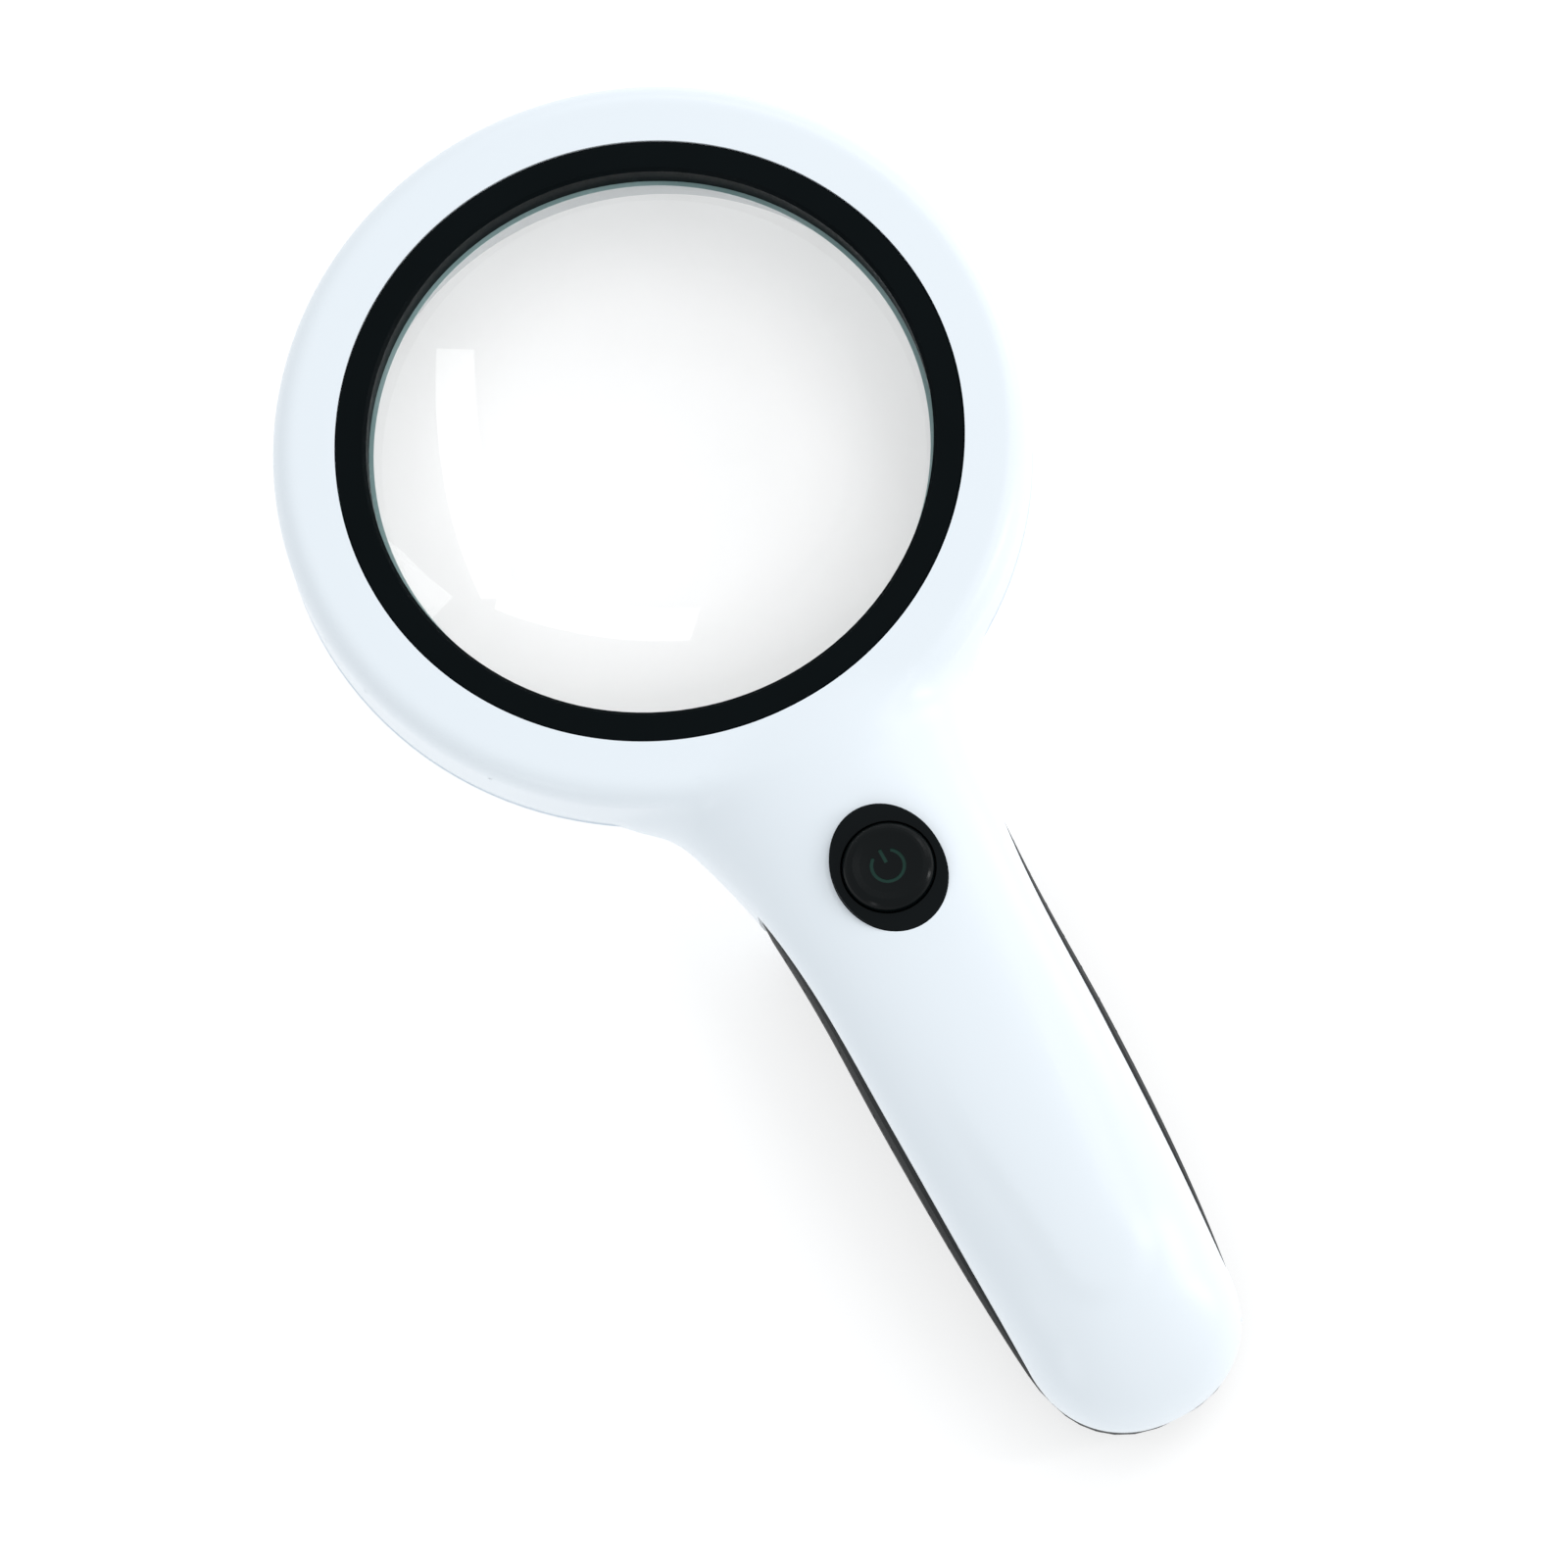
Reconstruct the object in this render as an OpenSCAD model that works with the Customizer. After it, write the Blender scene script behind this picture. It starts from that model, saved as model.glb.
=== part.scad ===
// Hand-held illuminated magnifier, lying on its back: lens axis along +Z,
// handle along -Y. Every module works from the lens axis and the table plane;
// place() then moves the origin to the middle of the footprint.

/* [Head] */
// Widest radius of the white head ring
head_r = 51.2; // [50:0.1:52]
// Height of the flat front face above the table
head_h = 22.5; // [22:0.1:23]
// Height of the seam between the front and the rear shell
seam_h = 11.1; // [10.5:0.1:11.5]
// Radius of the rounded front edge
edge_round = 3; // [2:0.1:3.5]
// Outer radius of the flat rim that the head lies on
rim_r = 47.7; // [47.3:0.1:48]

/* [Lens] */
// Radius of the glass lens
lens_r = 40; // [39.8:0.05:40.1]
// Radius of curvature of both faces of the lens
lens_curve_r = 210; // [190:5:300]
// Thickness of the lens at its edge
lens_edge = 2.5; // [2:0.1:2.8]
// Height of the bottom of the lens edge above the table
lens_h = 15; // [14.9:0.05:15.1]
// Radius of the opening inside the black bezel
bezel_in_r = 38.35; // [38:0.05:38.6]
// Outer radius of the black bezel
bezel_out_r = 42.5; // [42:0.1:43]

/* [Lamps] */
// Number of lamps round the lens
lamp_count = 12; // [6:1:12]
// Radius of the circle that the lamps stand on
lamp_pitch_r = 42.6; // [42.5:0.05:42.65]
// Radius of one lamp's clear body
lamp_r = 2.4; // [1.5:0.1:2.4]

/* [Handle] */
// Distance from the lens axis to the tip of the tail
tail_s = 151; // [150:0.5:153]
// Distance from the lens axis at which the tail starts to round off
cap_s = 136; // [135:0.5:137]
// Wall thickness of the handle shells
wall = 1.8; // [1.6:0.1:1.8]
// Most that the soft grip stands out past the white edge
grip_bulge = 1.35; // [0.6:0.05:1.5]
// Distance from the lens axis at which the soft grip starts
grip_s = 65.5; // [65:0.5:66]
// Radius of the curve across the underside of the handle
belly_r = 34; // [32:1:40]

/* [Switch] */
// Distance from the lens axis to the button
switch_s = 70; // [69.5:0.5:70.5]
// Radius of the round button
button_r = 6.25; // [6:0.05:6.3]
// Height of the top of the button above the table
button_top = 27.9; // [27.6:0.1:28.2]
// Width of the oval surround
oval_w = 15.1; // [14.8:0.1:15.4]
// Length of the oval surround
oval_l = 18.4; // [18:0.1:18.8]
// How far the button travels
button_travel = 1.6; // [0.8:0.1:1.8]

/* [Batteries] */
// Radius of one cell
cell_r = 5.15; // [5.0:0.05:5.2]
// Length of one cell's case, without the raised terminal
cell_l = 43.4; // [43:0.1:43.6]
// Half the distance between the two lower cells
cell_x = 5.3; // [5.25:0.05:5.4]
// Distance from the lens axis to the front end of the battery bay
bay_s = 80; // [80:0.1:80.5]
// Thickness of the battery door
door_t = 1.8; // [1.6:0.1:1.8]
// Width of the battery door as seen from below
door_w = 22.8; // [22:0.1:23]

/* [Hidden] */
$fn = 96;

head_wall = 1.9;
fit = 0.15;
slack = 0.2;

// Stations along the handle, as [distance from the lens axis, value].
// Half-width of the white shell at its lower edge
width_table = [[41, 24.3], [44, 24.9], [48, 22.4], [55, 20.1], [66, 17.7], [80, 16.3], [100, 15.95],
    [120, 15.5], [137, 14.8]];
// Height of the white shell's lower edge
edge_table = [[43, 11.1], [50, 12.5], [57, 14.9], [68, 19], [80, 20.3], [95, 20.5], [107, 19.7],
    [118, 18], [128, 15.3], [137, 11.7], [151, 9.4]];
// Height of the crown of the handle
crown_table = [[43, 22.3], [48, 22.8], [55, 24.3], [62, 25.5], [70, 26.3], [80, 26.9], [92, 27.2],
    [104, 27.05], [116, 26.2], [127, 24.6], [137, 21.4], [151, 17]];
// Height of the underside of the neck and the handle
under_table = [[43, 7], [50, 4.6], [57, 3.4], [64, 1.4], [72, -1], [151, -1]];

crown_power = 2.2;
belly_power = 3;
cap_power = 2.2;
belly_axis_h = belly_r - 0.2;

// Smooth curve through the stations of a table
function slot_of(t, s, i = 0) = (i >= len(t) - 2 || s < t[i + 1][0]) ? i : slot_of(t, s, i + 1);
function slope_at(t, i) =
    let (a = max(i - 1, 0), b = min(i + 1, len(t) - 1))
    (t[b][1] - t[a][1]) / (t[b][0] - t[a][0]);
function curve(t, s) =
    let (i = slot_of(t, s), h = t[i + 1][0] - t[i][0], u = (s - t[i][0]) / h)
    (2 * u * u * u - 3 * u * u + 1) * t[i][1] + (u * u * u - 2 * u * u + u) * h * slope_at(t, i)
    + (3 * u * u - 2 * u * u * u) * t[i + 1][1] + (u * u * u - u * u) * h * slope_at(t, i + 1);

// How much of the full section is left at s, with the tail rounded off at tip
function cap_left(s, tip) =
    s <= cap_s ? 1 : pow(1 - pow(min(1, (s - cap_s) / (tip - cap_s)), cap_power), 1 / cap_power);
function half_width(s, inset) = (curve(width_table, min(s, cap_s)) - inset) * cap_left(s, tail_s - inset);
function edge_h(s) = curve(edge_table, s);
function crown_h(s, inset) =
    edge_h(s) + (curve(crown_table, s) - inset - edge_h(s)) * cap_left(s, tail_s - inset);
function under_h(s, inset) =
    edge_h(s) + (curve(under_table, s) + inset - edge_h(s)) * cap_left(s, tail_s - inset);
function bulge(s) = let (u = (s - grip_s) / (139 - grip_s))
    (u <= 0 || u >= 1) ? 0 : grip_bulge * pow(sin(180 * pow(u, 1.05)), 0.5);

// Stations from s0 to the tail, close together where the tail rounds off
function stations(s0, inset, step) = concat(
    [for (s = [s0 : step : cap_s - step / 2]) s],
    [for (a = [0 : 9 : 81]) cap_s + (tail_s - inset - cap_s) * sin(a)],
    [cap_s + (tail_s - inset - cap_s) * sin(87.5)]);

// Closed solid through a list of sections with the same number of points each
module loft(sections) {
    n = len(sections[0]);
    m = len(sections);
    points = [for (section = sections) for (p = section) p];
    sides = [for (j = [0 : m - 2]) for (i = [0 : n - 1])
        let (a = j * n + i, b = j * n + (i + 1) % n) each [[a, b + n, b], [a, a + n, b + n]]];
    front = [[for (i = [0 : n - 1]) i]];
    back = [[for (i = [0 : n - 1]) m * n - 1 - i]];
    polyhedron(points, concat(sides, front, back), convexity = 8);
}

// Upper part of the handle: a rounded crown over a straight lower edge
function crown_section(s, inset, drop) =
    let (w = half_width(s, inset), e = edge_h(s), rise = crown_h(s, inset) - e, k = 2 / crown_power)
    concat(
        drop > 0 ? [[w, -s, e - drop]] : [],
        [for (a = [0 : 7.5 : 180])
            let (c = cos(a), v = sin(a))
            [sign(c) * w * pow(abs(c), k), -s, e + rise * pow(max(v, 0), k)]],
        drop > 0 ? [[-w, -s, e - drop]] : []);

module crown_solid(s0, inset, drop, step) {
    loft([for (s = stations(s0, inset, step)) crown_section(s, inset, drop)]);
}

// Lower part of the handle: flanks that swell below the seam and turn under
function belly_half(s, q, inset, swell) =
    (curve(width_table, min(s, cap_s)) - inset + swell * bulge(s) * sin(min(90, q * 640)))
    * cap_left(s, tail_s - inset) * pow(1 - pow(q, belly_power), 1 / belly_power);
function belly_section(s, inset, swell, lift) =
    let (e = edge_h(s), low = under_h(s, inset), depth = (e - low) / 0.97)
    let (levels = [0, 0.06, 0.13, 0.21, 0.3, 0.42, 0.55, 0.68, 0.8, 0.89, 0.95, 0.97])
    concat(
        lift > 0 ? [[-belly_half(s, 0, inset, swell), -s, e + lift]] : [],
        [for (q = levels) [-belly_half(s, q, inset, swell), -s, e - depth * q]],
        [for (i = [len(levels) - 1 : -1 : 0])
            [belly_half(s, levels[i], inset, swell), -s, e - depth * levels[i]]],
        lift > 0 ? [[belly_half(s, 0, inset, swell), -s, e + lift]] : []);

module belly_solid(s_list, inset, swell, lift) {
    loft([for (s = s_list) belly_section(s, inset, swell, lift)]);
}

// Long cylinder along the handle, its lowest line at the underside
module belly_round(r) {
    translate([0, -20, belly_axis_h]) rotate([90, 0, 0]) cylinder(r = r, h = 150);
}

module bar_along(s0, s1, w, z0, z1) {
    translate([-w / 2, -s1, z0]) cube([w, s1 - s0, z1 - z0]);
}

module tube(r_out, r_in, z0, z1) {
    translate([0, 0, z0])
        difference() {
            cylinder(r = r_out, h = z1 - z0);
            translate([0, 0, -1]) cylinder(r = r_in, h = z1 - z0 + 2);
        }
}

// Levels of the switch, from the circuit board up to the oval surround
board_top = 11;
board_t = 1.4;
case_top = 18;
rod_top = button_top - 7.5;
flange_top = rod_top + 1;
surround_low = flange_top + slack;
surround_high = 26.75;
post_x = 11.5;
button_round = 1.5;
dish = 0.45;

// Circuit board with the lamps, and where the wire ends touch down on either board
lamp_board_low = 8;
lamp_board_top = 9.4;
lead_h = board_top + 0.02;
lamp_lead_h = lamp_board_top + 0.02;

// The cells lie in a nest, two below and one above
door_out_r = belly_r - 0.4;
door_in_r = door_out_r - door_t;
cell_h = belly_axis_h - sqrt(pow(door_in_r - 0.25 - cell_r, 2) - cell_x * cell_x);
top_cell_h = cell_h + sqrt(3) * cell_x;
plate_t = 0.4;
nub_l = 0.9;
spring_room = 3.2;
strip_room = 0.7;
bay_end_s = bay_s + 2 * plate_t + nub_l + cell_l + spring_room;
tray_s = bay_s - 1.5;
tray_end_s = bay_end_s + 1.5;
door_s = tray_s - 1;
door_end_s = tray_end_s + 2.5;
tongue_w = door_w + 2;

seat_top = lens_h - 0.6;
neck_screw_x = 12;
neck_screw_s = 57;
tail_screw_s = 139;

// Oval outline, as a polygon through points of an ellipse
module oval(w, l) {
    polygon([for (a = [0 : 5 : 355]) [w / 2 * cos(a), l / 2 * sin(a)]]);
}

module head_front_profile() {
    polygon(concat(
        [[head_r, seam_h]],
        [for (a = [0 : 7.5 : 90])
            [head_r - edge_round + edge_round * cos(a), head_h - edge_round + edge_round * sin(a)]],
        [[bezel_out_r + 0.1, head_h], [bezel_out_r + 0.1, head_h - 1.7], [lens_r + fit, head_h - 1.7],
            [lens_r + fit, seat_top], [bezel_in_r + 0.25, seat_top], [bezel_in_r + 0.25, seat_top - 1.4],
            [lens_r + 1.9, seat_top - 1.4], [lens_r + 1.9, head_h - 3.4], [lens_r + 4.4, head_h - 3.4],
            [lens_r + 4.4, head_h - head_wall]],
        [for (a = [90 : -15 : 0])
            [head_r - edge_round + (edge_round - head_wall) * cos(a),
                head_h - edge_round + (edge_round - head_wall) * sin(a)]],
        [[head_r - head_wall, seam_h]]));
}

module head_rear_profile() {
    polygon([[rim_r, 0], [rim_r + 1.3, 3.5], [rim_r + 2.5, 7.5], [head_r, seam_h],
        [head_r - head_wall, seam_h], [head_r - 2.9, 7.5], [rim_r - 0.3, 4.9], [rim_r - 2.2, 4.9],
        [rim_r - 2.2, 4.5], [rim_r - 1.4, 4.5], [rim_r - 1.4, 0]]);
}

module front_shell() {
    color([0.94, 0.96, 0.99])
    difference() {
        union() {
            difference() {
                union() {
                    rotate_extrude() head_front_profile();
                    difference() {
                        crown_solid(44, 0, 0, 2.5);
                        cylinder(r = lens_r + 4, h = 40);
                    }
                }
                difference() {
                    crown_solid(43.2, wall, 6, 3);
                    cylinder(r = lens_r + 4.4, h = 40);
                }
            }
            shell_posts();
        }
        translate([0, -switch_s, surround_low]) linear_extrude(10) oval(oval_w + 0.2, oval_l + 0.2);
        for (x = [-post_x, post_x]) translate([x, -switch_s, 0]) cylinder(r = 0.95, h = board_top + 6);
        for (x = [-neck_screw_x, neck_screw_x]) translate([x, -neck_screw_s, 0]) cylinder(r = 1.25, h = 20);
        translate([0, -tail_screw_s, 0]) cylinder(r = 1.25, h = 16);
    }
}

// Screw posts that stand down from the inside of the crown
module shell_posts() {
    intersection() {
        union() {
            for (x = [-post_x, post_x])
                translate([x, -switch_s, board_top]) cylinder(r = 2, h = 16);
            for (x = [-neck_screw_x, neck_screw_x])
                translate([x, -neck_screw_s, edge_h(neck_screw_s)]) cylinder(r = 2.8, h = 12);
            translate([0, -tail_screw_s, edge_h(tail_screw_s)]) cylinder(r = 2.8, h = 12);
        }
        crown_solid(50, wall / 2, 14, 3);
    }
}

module rear_shell() {
    s_list = [for (s = [44 : 2.5 : grip_s]) s];
    inner_list = [for (s = [43.2 : 3 : grip_s + 3]) s];
    color([0.92, 0.94, 0.97])
    difference() {
        union() {
            difference() {
                union() {
                    rotate_extrude() head_rear_profile();
                    difference() {
                        belly_solid(concat(s_list, [grip_s - 0.3]), 0, 0, 0);
                        cylinder(r = head_r - 4, h = 40);
                    }
                }
                difference() {
                    belly_solid(inner_list, wall, 0, 6);
                    cylinder(r = head_r - 4.4, h = 40);
                }
            }
            for (x = [-neck_screw_x, neck_screw_x])
                translate([x, -neck_screw_s, 4]) cylinder(r = 3.6, h = edge_h(neck_screw_s) - 4.1);
        }
        for (x = [-neck_screw_x, neck_screw_x]) {
            translate([x, -neck_screw_s, -1]) cylinder(r = 1.6, h = 30);
            translate([x, -neck_screw_s, -1]) cylinder(r = 2.7, h = 10.9);
        }
    }
}

module soft_grip() {
    outer_list = concat([grip_s], stations(grip_s + 2.5, 0, 2.5));
    bay_list = [for (s = [grip_s - 1 : 4 : door_end_s + 0.4]) s];
    tail_list = stations(door_end_s - 2, wall, 2.5);
    color([0.09, 0.1, 0.11])
    difference() {
        union() {
            difference() {
                intersection() {
                    belly_solid(outer_list, 0.3, 1, 0);
                    belly_round(belly_r);
                    bar_along(grip_s, tail_s, 60, 0, 40);
                }
                intersection() {
                    belly_solid(bay_list, wall, 0, 6);
                    belly_round(belly_r - wall);
                    bar_along(grip_s - 2, door_end_s - 1, 60, 0, 40);
                }
                intersection() {
                    belly_solid(tail_list, wall, 0, 6);
                    belly_round(door_in_r - slack - wall);
                    bar_along(door_end_s + 0.4, tail_s, 60, 0, 40);
                }
                // Way in for the cells
                bar_along(door_s + 0.8, door_end_s - 1, door_w - 0.6, -1, 12);
                // Slot that the door slides in, open at the tail
                difference() {
                    bar_along(door_s, tail_s + 5, tongue_w + 2 * slack, -1, 9);
                    belly_round(door_in_r - slack);
                    lips();
                }
            }
            translate([0, -tail_screw_s, 4]) cylinder(r = 3.6, h = edge_h(tail_screw_s) - 4.1);
        }
        translate([0, -tail_screw_s, 0]) cylinder(r = 1.6, h = 30);
        translate([0, -tail_screw_s, 0]) cylinder(r = 2.7, h = 6.4);
    }
}

// The two edges that hold the battery door's tongues from below
module lips() {
    difference() {
        bar_along(door_s, tail_s + 5, 60, -2, 20);
        bar_along(door_s - 1, tail_s + 6, door_w + 2 * slack, -3, 21);
        belly_round(belly_r - 1.1);
    }
}

module battery_door() {
    color([0.08, 0.085, 0.09])
    difference() {
        union() {
            intersection() {
                difference() {
                    belly_round(door_out_r);
                    belly_round(door_in_r);
                }
                bar_along(door_s + slack, door_end_s, door_w, 0, 9);
            }
            intersection() {
                difference() {
                    belly_round(belly_r - 1.1 - slack);
                    belly_round(door_in_r);
                }
                bar_along(door_s + slack, door_end_s, tongue_w, 0, 9);
            }
        }
        // Thumb grooves at the tail end of the door
        for (i = [0 : 4])
            translate([-6, -(door_end_s - 4 - 1.9 * i), 0.4])
                rotate([0, 90, 0]) cylinder(r = 0.5, h = 12);
    }
}

module lens_bezel() {
    color([0.05, 0.06, 0.07])
    rotate_extrude()
        polygon([[bezel_in_r, lens_h + lens_edge + 0.35], [lens_r, lens_h + lens_edge + 0.35],
            [lens_r, head_h - 1.65], [bezel_out_r, head_h - 1.65], [bezel_out_r, head_h - 0.35],
            [bezel_out_r - 0.2, head_h - 0.15], [bezel_in_r + 0.5, head_h - 0.15], [bezel_in_r, head_h - 0.6]]);
}

module magnifying_lens() {
    drop = sqrt(lens_curve_r * lens_curve_r - lens_r * lens_r);
    color([0.85, 0.95, 0.93, 0.35])
    intersection() {
        translate([0, 0, lens_h - 10]) cylinder(r = lens_r, h = 25);
        translate([0, 0, lens_h + lens_edge - drop]) sphere(r = lens_curve_r, $fn = 240);
        translate([0, 0, lens_h + drop]) sphere(r = lens_curve_r, $fn = 240);
    }
}

module lens_gasket() {
    color([0.15, 0.15, 0.15]) tube(lens_r + 0.05, bezel_in_r + 0.4, seat_top, seat_top + 0.3);
}

module lamp_cover_ring() {
    color([0.9, 0.91, 0.92]) {
        difference() {
            union() {
                tube(rim_r - 1.5, bezel_in_r + 0.25, 2.9, 4.4);
                tube(lens_r - 0.3, bezel_in_r + 0.25, 2.9, seat_top - 1.45);
                for (i = [0 : 3]) rotate([0, 0, 45 + 90 * i])
                    translate([lamp_pitch_r + 0.6, 0, 4]) cylinder(r = 1, h = 4);
            }
            for (i = [0 : lamp_count - 1]) rotate([0, 0, 360 / lamp_count * i])
                translate([lamp_pitch_r, 0, 1]) cylinder(r = lamp_r + 0.1, h = 5);
        }
    }
}

module lamp_board() {
    color([0.1, 0.35, 0.2])
    difference() {
        tube(46.8, lens_r + 0.1, lamp_board_low, lamp_board_top);
        for (i = [0 : 3]) rotate([0, 0, 45 + 90 * i]) translate([lamp_pitch_r + 0.6, 0, 7]) cylinder(r = 0.5, h = 4);
    }
}

module lamps() {
    color([0.9, 0.93, 1, 0.6])
    for (i = [0 : lamp_count - 1]) rotate([0, 0, 360 / lamp_count * i]) translate([lamp_pitch_r, 0, 0]) {
        translate([0, 0, 3.2]) cylinder(r = lamp_r, h = 1.4);
        intersection() {
            translate([0, 0, 4]) sphere(r = lamp_r);
            translate([0, 0, 1.4]) cylinder(r = lamp_r, h = 2);
        }
        translate([0, 0, 4.5]) cylinder(r = lamp_r + 0.3, h = 0.9);
        for (y = [-1.27, 1.27]) translate([0, y, 5.3]) cylinder(r = 0.25, h = 2.7, $fn = 24);
    }
}

module lamp_resistors() {
    color([0.12, 0.12, 0.13])
    for (i = [0 : 3]) rotate([0, 0, 15 + 90 * i])
        translate([lamp_pitch_r - 0.8, -1.6, 9.4]) cube([1.6, 3.2, 0.6]);
}

module switch_surround() {
    color([0.05, 0.06, 0.07])
    translate([0, -switch_s, 0])
    difference() {
        union() {
            translate([0, 0, surround_low]) linear_extrude(surround_high - surround_low) oval(oval_w, oval_l);
            translate([0, 0, surround_low]) linear_extrude(0.9) oval(oval_w + 2.2, oval_l + 2.2);
        }
        cylinder(r = button_r + slack, h = 40);
    }
}

module power_button() {
    color([0.06, 0.07, 0.08])
    translate([0, -switch_s, 0])
    difference() {
        rotate_extrude()
            polygon(concat(
                [[0, rod_top], [button_r + 1, rod_top], [button_r + 1, flange_top], [button_r, flange_top]],
                [for (a = [0 : 15 : 90])
                    [button_r - button_round + button_round * cos(a), button_top - button_round + button_round * sin(a)]],
                [for (u = [0.8 : -0.2 : 0]) [(button_r - button_round) * u, button_top - dish * (1 - u * u)]]));
        translate([0, 0, button_top - 0.75]) power_sign(1);
    }
}

// Broken ring with a bar, the common sign for a power switch
module power_sign(h) {
    rotate([0, 0, 90 + 35]) rotate_extrude(angle = 290) translate([1.95, 0]) square([0.5, h]);
    translate([-0.25, 0.5, 0]) cube([0.5, 2, h]);
}

module switch_case() {
    color([0.15, 0.2, 0.45])
    translate([0, -switch_s, 0])
    difference() {
        translate([-4.25, -4.25, board_top]) cube([8.5, 8.5, case_top - board_top]);
        translate([0, 0, board_top + 1.2]) cylinder(r = 2.9, h = 5);
        translate([0, 0, board_top + 2]) cylinder(r = 1.7, h = 9);
    }
}

module switch_plunger() {
    color([0.93, 0.93, 0.9])
    translate([0, -switch_s, 0]) {
        translate([0, 0, board_top + 4.6]) cylinder(r = 1.6, h = rod_top - board_top - 4.6);
        translate([0, 0, board_top + 4.6]) cylinder(r = 2.6, h = 1.4);
    }
}

// Round wire wound into a coil with its two ends cut square
module coil(r0, r1, wire_r, turns, h) {
    steps = 14;
    corners = 6;
    loft([for (i = [0 : turns * steps])
        let (u = i / (turns * steps), a = 360 * turns * u, r = r0 + (r1 - r0) * u)
        [for (k = [0 : corners - 1])
            let (b = -360 / corners * k, d = r + wire_r * cos(b))
            [d * cos(a), d * sin(a), wire_r + (h - 2 * wire_r) * u + wire_r * sin(b)]]]);
}

module switch_spring() {
    color([0.75, 0.75, 0.75])
    translate([0, -switch_s, board_top + 1.2]) coil(2, 2, 0.22, 4, 3.4);
}

module switch_board() {
    color([0.1, 0.35, 0.2])
    difference() {
        translate([-13.6, -switch_s - 6, board_top - board_t]) cube([27.2, 13, board_t]);
        for (x = [-post_x, post_x]) translate([x, -switch_s, 0]) cylinder(r = 1.2, h = 20);
    }
}

// Pan-head screw with a cross recess, head down
module screw(shank_r, head_r, head_t, length) {
    difference() {
        union() {
            cylinder(r = head_r, h = head_t);
            cylinder(r = shank_r, h = head_t + length);
        }
        for (a = [0, 90]) rotate([0, 0, a])
            translate([-head_r * 0.55, -head_r * 0.12, -1]) cube([head_r * 1.1, head_r * 0.24, 1 + head_t * 0.6]);
    }
}

module board_screws() {
    color([0.7, 0.7, 0.72])
    for (x = [-post_x, post_x])
        translate([x, -switch_s, board_top - board_t - 1.2]) screw(0.9, 1.8, 1.2, 6);
}

module housing_screws() {
    color([0.7, 0.7, 0.72]) {
        for (x = [-neck_screw_x, neck_screw_x]) translate([x, -neck_screw_s, 8.1]) screw(1.2, 2.5, 1.8, 8.5);
        translate([0, -tail_screw_s, 4.6]) screw(1.2, 2.5, 1.8, 8.5);
    }
}

// Places children on the axis of each cell: left, right and top
module on_left() { translate([-cell_x, 0, cell_h]) rotate([90, 0, 0]) children(); }
module on_right() { translate([cell_x, 0, cell_h]) rotate([90, 0, 0]) children(); }
module on_top() { translate([0, 0, top_cell_h]) rotate([90, 0, 0]) children(); }

module battery_tray() {
    color([0.13, 0.13, 0.14])
    difference() {
        intersection() {
            union() {
                on_left() translate([0, 0, tray_s]) cylinder(r = cell_r + 1.5, h = tray_end_s - tray_s);
                on_right() translate([0, 0, tray_s]) cylinder(r = cell_r + 1.5, h = tray_end_s - tray_s);
                on_top() translate([0, 0, tray_s]) cylinder(r = cell_r + 0.1, h = tray_end_s - tray_s);
                bar_along(tray_s, tray_end_s, 2 * cell_x, cell_h, top_cell_h);
            }
            bar_along(tray_s, tray_end_s, 40, cell_h - 2, 21.2);
        }
        bar_along(bay_s, bay_end_s, 2 * cell_x, cell_h, cell_h + 3);
        for (x = [-cell_x, cell_x]) translate([x, -bay_s, cell_h]) rotate([90, 0, 0])
            cylinder(r = cell_r + 0.1, h = bay_end_s - bay_s);
        on_top() translate([0, 0, bay_s]) cylinder(r = cell_r + 0.05, h = bay_end_s - bay_s);
        bar_along(bay_s, bay_end_s, 4, top_cell_h, 30);
        // Room for the strips that join the contacts
        for (s = [bay_s, bay_end_s - strip_room])
            bar_along(s, s + strip_room, 2 * cell_x + 6, cell_h, top_cell_h);
    }
}

// One cell, its raised terminal at the far end of its own axis
module cell() {
    rotate_extrude()
        polygon([[0, 0], [cell_r - 0.4, 0], [cell_r, 0.4], [cell_r, cell_l - 0.4], [cell_r - 0.4, cell_l],
            [1.9, cell_l], [1.9, cell_l + nub_l], [0, cell_l + nub_l]]);
}

module lower_cell() {
    translate([0, 0, bay_s + plate_t + nub_l + cell_l]) mirror([0, 0, 1]) cell();
}

module battery_left() { color([0.1, 0.12, 0.14]) on_left() lower_cell(); }
module battery_right() { color([0.1, 0.12, 0.14]) on_right() lower_cell(); }
module battery_top() {
    color([0.1, 0.12, 0.14])
    on_top() translate([0, 0, bay_s + plate_t + spring_room]) cell();
}

module contact_disc(s) {
    translate([0, 0, s]) cylinder(r = 3.4, h = plate_t);
}

// Strip that joins a lower contact to the top one
module contact_strip(side, s) {
    length = 2 * cell_x;
    translate([side * cell_x, -s - plate_t, cell_h]) rotate([0, -side * 30, 0])
        translate([-2, 0, 0]) cube([4, plate_t, length]);
}

module positive_terminal() { color([0.8, 0.78, 0.7]) on_left() contact_disc(bay_s); }
module negative_terminal() { color([0.8, 0.78, 0.7]) on_right() contact_disc(bay_end_s - plate_t); }
module front_bridge() {
    color([0.8, 0.78, 0.7]) {
        on_right() contact_disc(bay_s);
        on_top() contact_disc(bay_s);
        contact_strip(1, bay_s);
    }
}
module rear_bridge() {
    color([0.8, 0.78, 0.7]) {
        on_left() contact_disc(bay_end_s - plate_t);
        on_top() contact_disc(bay_end_s - plate_t);
        contact_strip(-1, bay_end_s - plate_t);
    }
}

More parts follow.
